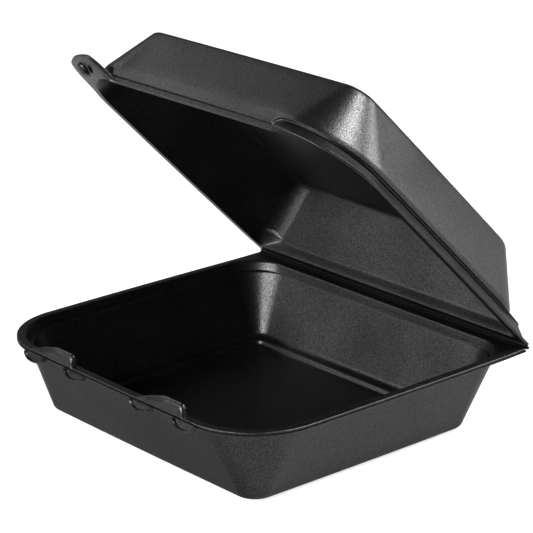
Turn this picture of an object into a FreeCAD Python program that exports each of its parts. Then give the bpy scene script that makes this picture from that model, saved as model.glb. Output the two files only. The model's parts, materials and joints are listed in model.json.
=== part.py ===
import FreeCAD, Part
import math
import os
import Sketcher

# Black foam clamshell food container, millimetres, +Z up.
# The origin lies under the centre of the tray, on the face that it stands on.
# X runs along the hinge, the hinge is on the +Y side and the latches are on the -Y side.
# Tray and lid are both drawn in a centred frame, rim face at z = tray height (tray) or z = 0 (lid).

os.makedirs("parts", exist_ok=True)
doc = FreeCAD.newDocument("FoamClamshell")
sheet = doc.addObject("Spreadsheet::Sheet", "Sizes")

SIZES = [
    # Whole container
    ("rim_width", 235.0),
    ("rim_depth", 214.0),
    ("rim_front_radius", 44.0),
    ("rim_hinge_radius", 8.0),
    ("foam_wall", 2.5),
    ("rim_thick", 2.8),
    ("mating_gap", 0.3),
    ("open_angle", 44.7),
    # Tray
    ("tray_height", 50.0),
    ("tray_foot_rise", 3.0),
    ("tray_wall_top_inset", 6.0),
    ("tray_wall_foot_inset", 18.5),
    ("tray_wall_front_radius", 38.0),
    ("tray_wall_hinge_radius", 24.0),
    ("tray_foot_radius", 13.0),
    ("tray_panel_inset", 27.0),
    ("tray_panel_radius", 9.0),
    ("tray_panel_draft", 1.2),
    ("tray_lip_width", 5.5),
    ("tray_step_depth", 6.0),
    ("tray_step_draft", 2.6),
    ("tray_shelf_width", 2.0),
    ("tray_edge_radius", 3.0),
    # Lid
    ("lid_height", 42.0),
    ("lid_band_foot_inset", 1.5),
    ("lid_band_top_inset", 6.0),
    ("lid_band_height", 7.4),
    ("lid_wall_foot_inset", 4.0),
    ("lid_wall_foot_rise", 8.4),
    ("lid_strip_height", 3.0),
    ("lid_strip_lean", 0.6),
    ("lid_crown_inset", 21.0),
    ("lid_crown_hinge_inset", 24.0),
    ("lid_hinge_flange", 5.8),
    ("lid_mouth_inset", 4.8),
    ("lid_wall_front_radius", 40.0),
    ("lid_wall_hinge_radius", 38.0),
    ("lid_crown_front_radius", 14.0),
    ("lid_crown_hinge_radius", 24.0),
    ("lid_edge_radius", 3.0),
    # Front latches of the tray: a tongue that stands up and two lobes that hang down
    ("latch_spacing", 98.0),
    ("latch_inset", 0.2),
    ("latch_thick", 2.0),
    ("latch_lean", 9.0),
    ("tongue_length", 41.0),
    ("tongue_shift", 5.5),
    ("tongue_height", 6.2),
    ("tongue_shoulder", 5.0),
    ("tongue_end_fall", 1.4),
    ("tongue_swell_radius", 22.5),
    ("lobe_spacing", 37.0),
    ("lobe_width", 15.0),
    ("lobe_drop", 7.0),
    # Plain stretch of the lid's front edge that goes in behind the tongues
    ("tuck_inset", 4.2),
    ("tuck_margin", 2.5),
    # Finger tab at the front left corner of the lid
    ("tab_bearing", 63.0),
    ("tab_width", 34.0),
    ("tab_reach", 12.0),
    ("tab_lap", 4.0),
    ("tab_lift", 14.0),
    ("tab_corner_radius", 9.0),
]

for row, (alias, value) in enumerate(SIZES, start=1):
    sheet.set(f"A{row}", alias)
    sheet.set(f"B{row}", str(value))
    sheet.setAlias(f"B{row}", alias)
doc.recompute()


def size(alias):
    """Current value of a named size."""
    return float(sheet.get(alias))


def named(text):
    """Turn the aliases in a formula into sheet references."""
    aliases = sorted((alias for alias, _ in SIZES), key=len, reverse=True)
    words = []
    word = ""
    for letter in text + " ":
        if letter.isalnum() or letter == "_":
            word += letter
            continue
        words.append("Sizes." + word if word in aliases else word)
        words.append(letter)
        word = ""
    return "".join(words).strip()


def value_of(formula):
    """Number that a formula of named sizes gives now."""
    known = {alias: size(alias) for alias, _ in SIZES}
    text = formula
    for alias in sorted(known, key=len, reverse=True):
        text = text.replace(alias, repr(known[alias]))
    return float(FreeCAD.Units.Quantity(text).Value)


def origin_plane(body, role):
    return next(item for item in body.Origin.OriginFeatures if item.Role == role)


def sketch_at(body, name, level):
    """Empty sketch parallel to the rim plane at the height that a formula gives."""
    sketch = body.newObject("Sketcher::SketchObject", name)
    sketch.AttachmentSupport = [(origin_plane(body, "XY_Plane"), "")]
    sketch.MapMode = "FlatFace"
    sketch.setExpression("AttachmentOffset.Base.z", named(level))
    return sketch


def constrain(sketch, measured):
    """Add constraints whose values follow formulas of named sizes."""
    for constraint, formula in measured:
        index = sketch.addConstraint(constraint)
        sketch.setExpression(f"Constraints[{index}]", named(formula))


def outline(body, name, level, side, hinge, front_radius, hinge_radius):
    """Rounded rectangle set in from the rim by `side` at the front and sides and `hinge` behind."""
    half_x = value_of(f"rim_width / 2 - ({side})")
    front = value_of(f"rim_depth / 2 - ({side})")
    back = value_of(f"rim_depth / 2 - ({hinge})")
    near = value_of(front_radius)
    far = value_of(hinge_radius)
    sketch = sketch_at(body, name, level)
    corners = [
        (half_x - near, near - front, near, -90.0),
        (half_x - far, back - far, far, 0.0),
        (far - half_x, back - far, far, 90.0),
        (near - half_x, near - front, near, 180.0),
    ]
    arcs = []
    for x, y, radius, start in corners:
        circle = Part.Circle(FreeCAD.Vector(x, y, 0), FreeCAD.Vector(0, 0, 1), radius)
        begin = math.radians(start)
        arcs.append(sketch.addGeometry(Part.ArcOfCircle(circle, begin, begin + math.pi / 2), False))
    ends = [(sketch.getPoint(arc, 1), sketch.getPoint(arc, 2)) for arc in arcs]
    lines = []
    for number in range(4):
        begin = ends[number][1]
        finish = ends[(number + 1) % 4][0]
        lines.append(sketch.addGeometry(Part.LineSegment(begin, finish), False))
    right, rear, left, fore = lines
    for number in range(4):
        sketch.addConstraint(Sketcher.Constraint("Tangent", arcs[number], 2, lines[number], 1))
        following = arcs[(number + 1) % 4]
        sketch.addConstraint(Sketcher.Constraint("Tangent", lines[number], 2, following, 1))
    for line in (right, left):
        sketch.addConstraint(Sketcher.Constraint("Vertical", line))
    for line in (rear, fore):
        sketch.addConstraint(Sketcher.Constraint("Horizontal", line))
    constrain(sketch, [
        (Sketcher.Constraint("DistanceX", -1, 1, right, 1, half_x), f"rim_width / 2 - ({side})"),
        (Sketcher.Constraint("DistanceX", left, 1, -1, 1, half_x), f"rim_width / 2 - ({side})"),
        (Sketcher.Constraint("DistanceY", fore, 1, -1, 1, front), f"rim_depth / 2 - ({side})"),
        (Sketcher.Constraint("DistanceY", -1, 1, rear, 1, back), f"rim_depth / 2 - ({hinge})"),
        (Sketcher.Constraint("Radius", arcs[0], near), front_radius),
        (Sketcher.Constraint("Radius", arcs[3], near), front_radius),
        (Sketcher.Constraint("Radius", arcs[1], far), hinge_radius),
        (Sketcher.Constraint("Radius", arcs[2], far), hinge_radius),
    ])
    return sketch


def loft(body, name, kind, sketches):
    """Straight-sided loft through outlines, added to or cut from the body."""
    feature = body.newObject(f"PartDesign::{kind}", name)
    feature.Profile = sketches[0]
    feature.Sections = sketches[1:]
    feature.Ruled = True
    doc.recompute()
    return feature


def pad(body, name, sketch, length):
    """Raise a closed sketch by the length that a formula gives."""
    feature = body.newObject("PartDesign::Pad", name)
    feature.Profile = sketch
    feature.setExpression("Length", named(length))
    doc.recompute()
    return feature


def round_edges(body, name, radius, wanted):
    """Fillet the edges of the body for which `wanted` is true of the edge's bounding box."""
    base = body.Tip
    chosen = []
    for number, edge in enumerate(base.Shape.Edges, start=1):
        if wanted(edge):
            chosen.append(f"Edge{number}")
    feature = body.newObject("PartDesign::Fillet", name)
    feature.Base = (base, chosen)
    feature.setExpression("Radius", named(radius))
    doc.recompute()
    return feature


def at_level(level, least_reach):
    """Test for edges that lie flat at one height, further than a reach from the middle."""
    def wanted(edge):
        box = edge.BoundBox
        flat = abs(box.ZMin - level) < 0.01 and abs(box.ZMax - level) < 0.01
        middle = edge.valueAt((edge.FirstParameter + edge.LastParameter) / 2)
        return flat and max(abs(middle.x), abs(middle.y)) > least_reach
    return wanted


# Tray: a flat lip, a stepped seat inside it, drafted walls, a foot ring and a sunken centre panel.
tray = doc.addObject("PartDesign::Body", "Tray")
tray.Label = "base_tray"

LIP_UNDER = "tray_height - rim_thick"
lip_sketch = outline(tray, "LipOutline", LIP_UNDER, "0", "mating_gap / 2", "rim_front_radius",
                     "rim_hinge_radius")
pad(tray, "Lip", lip_sketch, "rim_thick - mating_gap / 2")

outer_top = outline(tray, "OuterTop", LIP_UNDER, "tray_wall_top_inset", "tray_wall_top_inset",
                    "tray_wall_front_radius", "tray_wall_hinge_radius")
outer_foot = outline(tray, "OuterFoot", "tray_foot_rise", "tray_wall_foot_inset",
                     "tray_wall_foot_inset", "tray_foot_radius", "tray_foot_radius")
loft(tray, "OuterWall", "AdditiveLoft", [outer_top, outer_foot])
round_edges(tray, "FootRound", "tray_edge_radius + foam_wall / 2",
            at_level(size("tray_foot_rise"), 0))

panel_top = outline(tray, "PanelTop", "tray_foot_rise", "tray_panel_inset", "tray_panel_inset",
                    "tray_panel_radius", "tray_panel_radius")
panel_foot = outline(tray, "PanelFoot", "0", "tray_panel_inset + tray_panel_draft",
                     "tray_panel_inset + tray_panel_draft",
                     "tray_panel_radius - tray_panel_draft",
                     "tray_panel_radius - tray_panel_draft")
loft(tray, "CentrePanel", "AdditiveLoft", [panel_top, panel_foot])

SHELF_LEVEL = "tray_height - tray_step_depth"
SEAT_INSET = "tray_lip_width + tray_step_draft"
CAVITY_INSET = f"{SEAT_INSET} + tray_shelf_width"
HINGE_FLANGE = "tray_wall_top_inset + foam_wall"
seat_top = outline(tray, "SeatTop", "tray_height", "tray_lip_width", HINGE_FLANGE,
                   "rim_front_radius - tray_lip_width", "tray_wall_hinge_radius - foam_wall")
seat_foot = outline(tray, "SeatFoot", SHELF_LEVEL, SEAT_INSET,
                    f"{HINGE_FLANGE} + tray_step_draft / 2",
                    f"rim_front_radius - ({SEAT_INSET})", "tray_wall_hinge_radius - foam_wall")
loft(tray, "Seat", "SubtractiveLoft", [seat_top, seat_foot])

FLOOR_LEVEL = "tray_foot_rise + foam_wall"
INNER_FOOT_INSET = "tray_wall_foot_inset + foam_wall"
cavity_top = outline(tray, "CavityTop", SHELF_LEVEL, CAVITY_INSET,
                     f"{HINGE_FLANGE} + tray_step_draft / 2",
                     f"rim_front_radius - ({CAVITY_INSET})", "tray_wall_hinge_radius - foam_wall")
cavity_foot = outline(tray, "CavityFoot", FLOOR_LEVEL, INNER_FOOT_INSET, INNER_FOOT_INSET,
                      "tray_foot_radius - foam_wall", "tray_foot_radius - foam_wall")
loft(tray, "Cavity", "SubtractiveLoft", [cavity_top, cavity_foot])
round_edges(tray, "FloorRound", "tray_edge_radius",
            at_level(size("tray_foot_rise") + size("foam_wall"), 0))

well_top = outline(tray, "WellTop", FLOOR_LEVEL, "tray_panel_inset + foam_wall",
                   "tray_panel_inset + foam_wall",
                   "tray_panel_radius - foam_wall", "tray_panel_radius - foam_wall")
well_foot = outline(tray, "WellFoot", "foam_wall",
                    "tray_panel_inset + foam_wall + tray_panel_draft",
                    "tray_panel_inset + foam_wall + tray_panel_draft",
                    "tray_panel_radius - foam_wall - tray_panel_draft",
                    "tray_panel_radius - foam_wall - tray_panel_draft")
loft(tray, "Well", "SubtractiveLoft", [well_top, well_foot])


def front_sketch(body, name, across, inset, level, lean):
    """Sketch that stands on the front edge, x across and y up, leaning back by an angle."""
    sketch = body.newObject("Sketcher::SketchObject", name)
    sketch.AttachmentSupport = [(origin_plane(body, "XY_Plane"), "")]
    sketch.MapMode = "FlatFace"
    sketch.AttachmentOffset = FreeCAD.Placement(
        FreeCAD.Vector(0, 0, 0), FreeCAD.Rotation(FreeCAD.Vector(1, 0, 0), 90))
    sketch.setExpression("AttachmentOffset.Base.x", named(across))
    sketch.setExpression("AttachmentOffset.Base.y", named(f"({inset}) - rim_depth / 2"))
    sketch.setExpression("AttachmentOffset.Base.z", named(level))
    sketch.setExpression("AttachmentOffset.Rotation.Angle", named(f"90 - ({lean})"))
    return sketch


def add_tongue(number, across):
    """Raised latch tongue: it swells from nothing at its left end and stops short at its right."""
    sketch = front_sketch(tray, f"TongueOutline{number}", f"({across}) - tongue_shift",
                          "latch_inset + latch_thick", LIP_UNDER, "latch_lean")
    half = value_of("tongue_length / 2")
    top = value_of("tongue_height + rim_thick")
    shoulder = value_of("tongue_shoulder")
    end_height = value_of("tongue_height + rim_thick - tongue_end_fall")
    left = FreeCAD.Vector(-half, 0, 0)
    right = FreeCAD.Vector(half, 0, 0)
    end_top = FreeCAD.Vector(half, end_height, 0)
    crown = FreeCAD.Vector(-shoulder, top, 0)
    bend = value_of("tongue_swell_radius")
    chord = crown - left
    sagitta = bend - math.sqrt(bend ** 2 - (chord.Length / 2) ** 2)
    bulge = (crown + left) / 2 + FreeCAD.Vector(-chord.y, chord.x, 0).normalize() * sagitta
    bottom = sketch.addGeometry(Part.LineSegment(left, right), False)
    end = sketch.addGeometry(Part.LineSegment(right, end_top), False)
    crest = sketch.addGeometry(Part.LineSegment(end_top, crown), False)
    swell = sketch.addGeometry(Part.Arc(crown, bulge, left), False)
    ring = [bottom, end, crest, swell]
    for place in range(3):
        sketch.addConstraint(Sketcher.Constraint("Coincident", ring[place], 2, ring[place + 1], 1))
    sketch.addConstraint(Sketcher.Constraint("Coincident", swell, 2, bottom, 1))
    sketch.addConstraint(Sketcher.Constraint("Horizontal", bottom))
    sketch.addConstraint(Sketcher.Constraint("Vertical", end))
    constrain(sketch, [
        (Sketcher.Constraint("DistanceX", -1, 1, end, 1, half), "tongue_length / 2"),
        (Sketcher.Constraint("DistanceX", bottom, 1, -1, 1, half), "tongue_length / 2"),
        (Sketcher.Constraint("DistanceX", crest, 2, -1, 1, shoulder), "tongue_shoulder"),
        (Sketcher.Constraint("DistanceY", -1, 1, crest, 2, top), "tongue_height + rim_thick"),
        (Sketcher.Constraint("DistanceY", end, 1, end, 2, end_height),
         "tongue_height + rim_thick - tongue_end_fall"),
        (Sketcher.Constraint("Radius", swell, bend), "tongue_swell_radius"),
    ])
    pad(tray, f"Tongue{number}", sketch, "latch_thick")


def add_lobe(number, across):
    """U-shaped lobe of the front edge that hangs below the lip beside a tongue."""
    sketch = front_sketch(tray, f"LobeOutline{number}", across, "latch_inset + latch_thick",
                          LIP_UNDER, "0")
    radius = value_of("lobe_width / 2")
    rise = value_of("rim_thick / 2")
    straight = value_of("lobe_drop - lobe_width / 2")
    top_left = FreeCAD.Vector(-radius, rise, 0)
    top_right = FreeCAD.Vector(radius, rise, 0)
    low_left = FreeCAD.Vector(-radius, -straight, 0)
    low_right = FreeCAD.Vector(radius, -straight, 0)
    bottom = FreeCAD.Vector(0, -straight - radius, 0)
    top = sketch.addGeometry(Part.LineSegment(top_right, top_left), False)
    fall = sketch.addGeometry(Part.LineSegment(top_left, low_left), False)
    curve = sketch.addGeometry(Part.Arc(low_left, bottom, low_right), False)
    climb = sketch.addGeometry(Part.LineSegment(low_right, top_right), False)
    sketch.addConstraint(Sketcher.Constraint("Coincident", top, 2, fall, 1))
    sketch.addConstraint(Sketcher.Constraint("Tangent", fall, 2, curve, 1))
    sketch.addConstraint(Sketcher.Constraint("Tangent", curve, 2, climb, 1))
    sketch.addConstraint(Sketcher.Constraint("Coincident", climb, 2, top, 1))
    sketch.addConstraint(Sketcher.Constraint("Horizontal", top))
    sketch.addConstraint(Sketcher.Constraint("Vertical", fall))
    sketch.addConstraint(Sketcher.Constraint("Vertical", climb))
    constrain(sketch, [
        (Sketcher.Constraint("DistanceX", -1, 1, top, 1, radius), "lobe_width / 2"),
        (Sketcher.Constraint("Radius", curve, radius), "lobe_width / 2"),
        (Sketcher.Constraint("DistanceY", -1, 1, top, 1, rise), "rim_thick / 2"),
        (Sketcher.Constraint("DistanceY", fall, 2, fall, 1, straight + rise),
         "lobe_drop - lobe_width / 2 + rim_thick / 2"),
    ])
    pad(tray, f"Lobe{number}", sketch, "latch_thick")


LATCH_PLACES = ["-latch_spacing / 2", "latch_spacing / 2"]
for number, across in enumerate(LATCH_PLACES, start=1):
    add_tongue(number, across)
    add_lobe(2 * number - 1, f"{across} - lobe_spacing / 2")
    add_lobe(2 * number, f"{across} + lobe_spacing / 2")

# Lid: lip, sloped band, a groove under the overhanging wall foot, drafted walls and a flat crown.
lid = doc.addObject("PartDesign::Body", "Lid")
lid.Label = "lid"

lid_lip = outline(lid, "LidLipOutline", "mating_gap / 2", "0", "mating_gap / 2",
                  "rim_front_radius", "rim_hinge_radius")
pad(lid, "LidLip", lid_lip, "rim_thick - mating_gap / 2")

band_foot = outline(lid, "BandFoot", "rim_thick", "lid_band_foot_inset", "lid_hinge_flange",
                    "rim_front_radius - lid_band_foot_inset", "rim_hinge_radius")
band_top = outline(lid, "BandTop", "lid_band_height", "lid_band_top_inset", "lid_hinge_flange",
                   "rim_front_radius - lid_band_top_inset",
                   "rim_hinge_radius + lid_band_top_inset")
neck_top = outline(lid, "NeckTop", "lid_wall_foot_rise", "lid_band_top_inset", "lid_hinge_flange",
                   "rim_front_radius - lid_band_top_inset",
                   "rim_hinge_radius + lid_band_top_inset")
loft(lid, "Band", "AdditiveLoft", [band_foot, band_top, neck_top])

STRIP_INSET = "lid_wall_foot_inset + lid_strip_lean"
strip_foot = outline(lid, "StripFoot", "lid_wall_foot_rise", "lid_wall_foot_inset",
                     "lid_hinge_flange", "lid_wall_front_radius", "lid_wall_hinge_radius")
strip_top = outline(lid, "StripTop", "lid_wall_foot_rise + lid_strip_height", STRIP_INSET,
                    "lid_hinge_flange + lid_strip_lean",
                    "lid_wall_front_radius - lid_strip_lean", "lid_wall_hinge_radius")
crown_outline = outline(lid, "CrownOutline", "lid_height", "lid_crown_inset",
                        "lid_crown_hinge_inset",
                        "lid_crown_front_radius", "lid_crown_hinge_radius")
loft(lid, "Wall", "AdditiveLoft", [strip_foot, strip_top, crown_outline])
round_edges(lid, "CrownRound", "lid_edge_radius + foam_wall", at_level(size("lid_height"), 0))


def span_rectangle(body, name, level, near, far):
    """Rectangle over the tucked stretch of the front edge, between two insets."""
    sketch = sketch_at(body, name, level)
    spans = [
        "latch_spacing / 2 + tongue_shift + tongue_length / 2 + tuck_margin",
        "latch_spacing / 2 - tongue_shift + tongue_length / 2 + tuck_margin",
        f"rim_depth / 2 - ({near})",
        f"rim_depth / 2 - ({far})",
    ]
    left, right, front, back = [value_of(span) for span in spans]
    corners = [
        FreeCAD.Vector(-left, -front, 0),
        FreeCAD.Vector(right, -front, 0),
        FreeCAD.Vector(right, -back, 0),
        FreeCAD.Vector(-left, -back, 0),
    ]
    sides = []
    for number in range(4):
        segment = Part.LineSegment(corners[number], corners[(number + 1) % 4])
        sides.append(sketch.addGeometry(segment, False))
    for number in range(4):
        sketch.addConstraint(
            Sketcher.Constraint("Coincident", sides[number], 2, sides[(number + 1) % 4], 1))
        level_side = "Horizontal" if number % 2 == 0 else "Vertical"
        sketch.addConstraint(Sketcher.Constraint(level_side, sides[number]))
    constrain(sketch, [
        (Sketcher.Constraint("DistanceX", sides[0], 1, -1, 1, left), spans[0]),
        (Sketcher.Constraint("DistanceX", -1, 1, sides[1], 1, right), spans[1]),
        (Sketcher.Constraint("DistanceY", sides[0], 1, -1, 1, front), spans[2]),
        (Sketcher.Constraint("DistanceY", sides[2], 1, -1, 1, back), spans[3]),
    ])
    return sketch


solid_before = lid.Shape.Volume
tuck_cut = lid.newObject("PartDesign::Pocket", "TuckCut")
tuck_cut.Profile = span_rectangle(lid, "TuckCutOutline", "lid_wall_foot_rise", "-foam_wall",
                                  "tuck_inset")
tuck_cut.setExpression("Length", named("lid_wall_foot_rise"))
doc.recompute()
if lid.Shape.Volume > solid_before - 1:
    raise RuntimeError("the tuck cut removed nothing")

MOUTH_STEP = "lid_wall_foot_rise - foam_wall / 2"
MOUTH_TOP_INSET = "lid_band_top_inset + foam_wall"
mouth_foot = outline(lid, "MouthFoot", "0", "lid_mouth_inset", "lid_hinge_flange + foam_wall",
                     "rim_front_radius - lid_mouth_inset", "rim_hinge_radius")
mouth_top = outline(lid, "MouthTop", MOUTH_STEP, MOUTH_TOP_INSET,
                    "lid_hinge_flange + foam_wall",
                    f"rim_front_radius - ({MOUTH_TOP_INSET})",
                    "lid_wall_hinge_radius - foam_wall")
ceiling = outline(lid, "Ceiling", "lid_height - foam_wall", "lid_crown_inset + foam_wall",
                  "lid_crown_hinge_inset + foam_wall",
                  "lid_crown_front_radius - foam_wall", "lid_crown_hinge_radius - foam_wall")
loft(lid, "Hollow", "SubtractiveLoft", [mouth_foot, mouth_top, ceiling])
round_edges(lid, "CeilingRound", "lid_edge_radius",
            at_level(size("lid_height") - size("foam_wall"), 0))

tuck_wall = span_rectangle(lid, "TuckWallOutline", "mating_gap / 2", "tuck_inset",
                           "tuck_inset + foam_wall")
pad(lid, "TuckWall", tuck_wall, "lid_wall_foot_rise - mating_gap / 2")


def add_finger_tab():
    """Rounded tab on the front left corner of the lip, turned up for a fingertip."""
    sketch = lid.newObject("Sketcher::SketchObject", "TabOutline")
    sketch.AttachmentSupport = [(origin_plane(lid, "XY_Plane"), "")]
    sketch.MapMode = "FlatFace"
    bearing = math.radians(size("tab_bearing"))
    across = value_of("rim_front_radius - tab_lap") * math.cos(bearing)
    ahead = value_of("rim_front_radius - tab_lap") * math.sin(bearing)
    root = FreeCAD.Vector(value_of("rim_front_radius - rim_width / 2") - across,
                          value_of("rim_front_radius - rim_depth / 2") - ahead,
                          value_of("mating_gap / 2"))
    turn = FreeCAD.Rotation(180 + size("tab_bearing"), -size("tab_lift"), 0)
    sketch.AttachmentOffset = FreeCAD.Placement(root, turn)
    half = value_of("tab_width / 2")
    reach = value_of("tab_reach + tab_lap")
    radius = size("tab_corner_radius")
    bend = radius * (1 - math.sqrt(0.5))
    root_low = FreeCAD.Vector(0, -half, 0)
    low_end = FreeCAD.Vector(reach - radius, -half, 0)
    low_middle = FreeCAD.Vector(reach - bend, bend - half, 0)
    tip_low = FreeCAD.Vector(reach, radius - half, 0)
    tip_high = FreeCAD.Vector(reach, half - radius, 0)
    high_middle = FreeCAD.Vector(reach - bend, half - bend, 0)
    high_end = FreeCAD.Vector(reach - radius, half, 0)
    root_high = FreeCAD.Vector(0, half, 0)
    low = sketch.addGeometry(Part.LineSegment(root_low, low_end), False)
    low_arc = sketch.addGeometry(Part.Arc(low_end, low_middle, tip_low), False)
    tip = sketch.addGeometry(Part.LineSegment(tip_low, tip_high), False)
    high_arc = sketch.addGeometry(Part.Arc(tip_high, high_middle, high_end), False)
    high = sketch.addGeometry(Part.LineSegment(high_end, root_high), False)
    root_line = sketch.addGeometry(Part.LineSegment(root_high, root_low), False)
    for before, after in ((low, low_arc), (low_arc, tip), (tip, high_arc), (high_arc, high)):
        sketch.addConstraint(Sketcher.Constraint("Tangent", before, 2, after, 1))
    sketch.addConstraint(Sketcher.Constraint("Coincident", high, 2, root_line, 1))
    sketch.addConstraint(Sketcher.Constraint("Coincident", root_line, 2, low, 1))
    sketch.addConstraint(Sketcher.Constraint("Horizontal", low))
    sketch.addConstraint(Sketcher.Constraint("Horizontal", high))
    sketch.addConstraint(Sketcher.Constraint("Vertical", root_line))
    sketch.addConstraint(Sketcher.Constraint("PointOnObject", root_line, 1, -2))
    constrain(sketch, [
        (Sketcher.Constraint("DistanceY", low, 1, -1, 1, half), "tab_width / 2"),
        (Sketcher.Constraint("DistanceY", -1, 1, high, 2, half), "tab_width / 2"),
        (Sketcher.Constraint("DistanceX", -1, 1, tip, 1, reach), "tab_reach + tab_lap"),
        (Sketcher.Constraint("Radius", low_arc, radius), "tab_corner_radius"),
        (Sketcher.Constraint("Radius", high_arc, radius), "tab_corner_radius"),
    ])
    pad(lid, "FingerTab", sketch, "foam_wall")


add_finger_tab()

# The lid stands open on the crease behind the tray, at the height where the two lips meet.
lid.Placement = FreeCAD.Placement(
    FreeCAD.Vector(0, 0, 0), FreeCAD.Rotation(FreeCAD.Vector(-1, 0, 0), size("open_angle")))
lid.setExpression("Placement.Rotation.Angle", named("open_angle"))
lid.setExpression("Placement.Base.y", named("rim_depth / 2 * (1 - cos(open_angle))"))
lid.setExpression("Placement.Base.z", named("tray_height + rim_depth / 2 * sin(open_angle)"))
doc.recompute()

for item in doc.Objects:
    failed = [word for word in item.State if word in ("Invalid", "Error")]
    if failed:
        raise RuntimeError(f"{item.Name} is {failed}")
for body in (tray, lid):
    if body.Shape.isNull() or not body.Shape.isValid() or len(body.Shape.Solids) != 1:
        raise RuntimeError(f"{body.Label} is not one valid solid")
for body in (tray, lid):
    body.Shape.exportStep(f"parts/{body.Label}.step")
    print(body.Label, round(body.Shape.Volume), body.Shape.BoundBox)
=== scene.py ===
import json
import math

import bmesh
import bpy
import numpy as np
from mathutils import Matrix, Quaternion, Vector


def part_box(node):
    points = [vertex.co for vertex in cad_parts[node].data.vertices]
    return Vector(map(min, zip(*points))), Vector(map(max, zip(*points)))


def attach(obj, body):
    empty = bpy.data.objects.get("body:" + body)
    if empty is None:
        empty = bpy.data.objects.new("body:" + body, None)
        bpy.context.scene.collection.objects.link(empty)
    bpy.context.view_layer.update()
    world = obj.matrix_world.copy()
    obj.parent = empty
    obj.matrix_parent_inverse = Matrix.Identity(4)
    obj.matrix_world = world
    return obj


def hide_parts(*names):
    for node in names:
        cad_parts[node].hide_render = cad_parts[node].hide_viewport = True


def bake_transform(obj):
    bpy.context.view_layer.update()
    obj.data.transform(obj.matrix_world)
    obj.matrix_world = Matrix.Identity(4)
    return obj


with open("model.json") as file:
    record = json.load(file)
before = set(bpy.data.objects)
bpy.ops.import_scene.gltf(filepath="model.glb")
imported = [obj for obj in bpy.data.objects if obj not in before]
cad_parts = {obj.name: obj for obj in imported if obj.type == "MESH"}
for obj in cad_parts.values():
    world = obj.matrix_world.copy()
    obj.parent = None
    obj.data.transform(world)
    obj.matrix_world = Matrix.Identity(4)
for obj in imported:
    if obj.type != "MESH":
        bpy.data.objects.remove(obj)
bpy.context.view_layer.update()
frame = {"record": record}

bl_info = {
    "name": "Foam clamshell container",
    "version": (1, 0, 0),
    "blender": (4, 5, 0),
    "location": "View3D > Sidebar > Foam clamshell",
    "description": "Hinged black foam food container, standing half open",
    "category": "Object",
}

MM = 0.001
JOINT = frame["record"]["behaviour"]["joints"][0]
HINGE = Vector(JOINT["pos_m"])
OPEN_ANGLE = -math.radians(JOINT["range_deg"][0])
TRAY_LOW, TRAY_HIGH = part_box("base_tray")
HALF_WIDTH = (TRAY_HIGH[0] - TRAY_LOW[0]) / MM / 2
HALF_DEPTH = HINGE.y / MM
# Half of the gap between the two lips and at the fold, in mm
MATING = 0.15


def length(name, description, default):
    """A size in metres whose default is given in millimetres."""
    return bpy.props.FloatProperty(name=name, description=description, default=default * MM,
                                   unit="LENGTH", precision=4)


class ClamshellSizes(bpy.types.PropertyGroup):
    foam: length("Foam", "Thickness of the formed foam sheet", 2.5)
    rim_thick: length("Rim thickness", "Thickness of the tray's lip", 2.8)
    lid_lip_thick: length("Lid lip", "Height of the lid's lip under its sloped band", 1.9)
    rim_front_radius: length("Front corner", "Radius of the front corners of the rim", 44)
    rim_hinge_radius: length("Hinge corner", "Radius of the rim's corners at the hinge", 1.5)
    side_bow: length("Side bow", "How far the middle of a side stands out from its ends", 1.2)
    ear_rise: length("Ear rise", "How far both lips rise at the ends of the hinge", 0.3)
    tray_height: length("Tray height", "Height of the rim above the table", 50)
    lid_height: length("Lid height", "Height of the crown above the lid's lip", 44.5)
    slot_depth: length("Slot depth", "Depth of the thin slot along the tray's front lip", 1.3)
    first_tongue: length("First tongue", "Left end of the left tongue along the front", -73)
    latch_spacing: length("Latch spacing", "Distance between the two front latches", 98)
    tongue_length: length("Tongue length", "Length of a latch tongue along the front", 40)
    tongue_height: length("Tongue height", "Height of a latch tongue above the lip", 7.0)
    lobe_spacing: length("Lobe spacing", "Distance between the two lobes of a latch", 37.5)
    lobe_width: length("Lobe width", "Width of a lobe under the lip", 19)
    lobe_drop: length("Lobe drop", "How far a lobe hangs below the slot", 5.0)
    lobe_ridge: length("Lobe ridge", "Half the depth of a lobe's dish", 1.0)
    lobe_thick: length("Lobe thickness", "Thickness of a lobe", 2.6)
    lobe_flare: bpy.props.FloatProperty(
        name="Lobe flare", description="How far a lobe leans outwards at its foot",
        default=math.radians(20), subtype="ANGLE")
    tab_reach: length("Tab reach", "How far the finger tab stands out from the lid's lip", 14.5)
    tab_lift: length("Tab lift", "How far the finger tab's edge is lifted", 2.4)
    web_thick: length("Crease thickness", "Thickness of the foam left in the fold", 1.3)


class ClamshellLooks(bpy.types.PropertyGroup):
    foam_colour: bpy.props.FloatVectorProperty(
        name="Foam colour", description="Base colour of the foam", subtype="COLOR", size=3,
        default=(0.0016, 0.0016, 0.0017), min=0, max=1)
    foam_roughness: bpy.props.FloatProperty(
        name="Foam roughness", description="Mean roughness of the foam skin", default=0.36,
        min=0, max=1, subtype="FACTOR")
    grain_size: length("Grain size", "Width of one cell of the foam skin", 0.75)
    floor_colour: bpy.props.FloatVectorProperty(
        name="Floor colour", description="Colour of the studio floor", subtype="COLOR", size=3,
        default=(0.4, 0.4, 0.4), min=0, max=1)


def ease(value, low, high):
    """Share from 0 to 1 that rises smoothly while the value goes from low to high."""
    share = np.clip((value - low) / (high - low), 0, 1)
    return share * share * (3 - 2 * share)


# Columns of a ring along each side, along the hinge, round each corner and along the front
SIDE_STEPS = 60
HINGE_STEPS = 60
FRONT_ARC_STEPS = 60
HINGE_ARC_STEPS = 16
FRONT_STEPS = 210
# Half of the straight front line and the width of an abrupt end of a tongue, in mm
CORNER_RUN = 73.5
CLIFF = 0.12
# Places of a corner's values: side inset and level, tab, ear, push, and then the forms in pairs
SIDE_AND_LEVEL = [0, 4]
TAB, EAR, PUSH, FORMS = 5, 6, 7, 8
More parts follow.
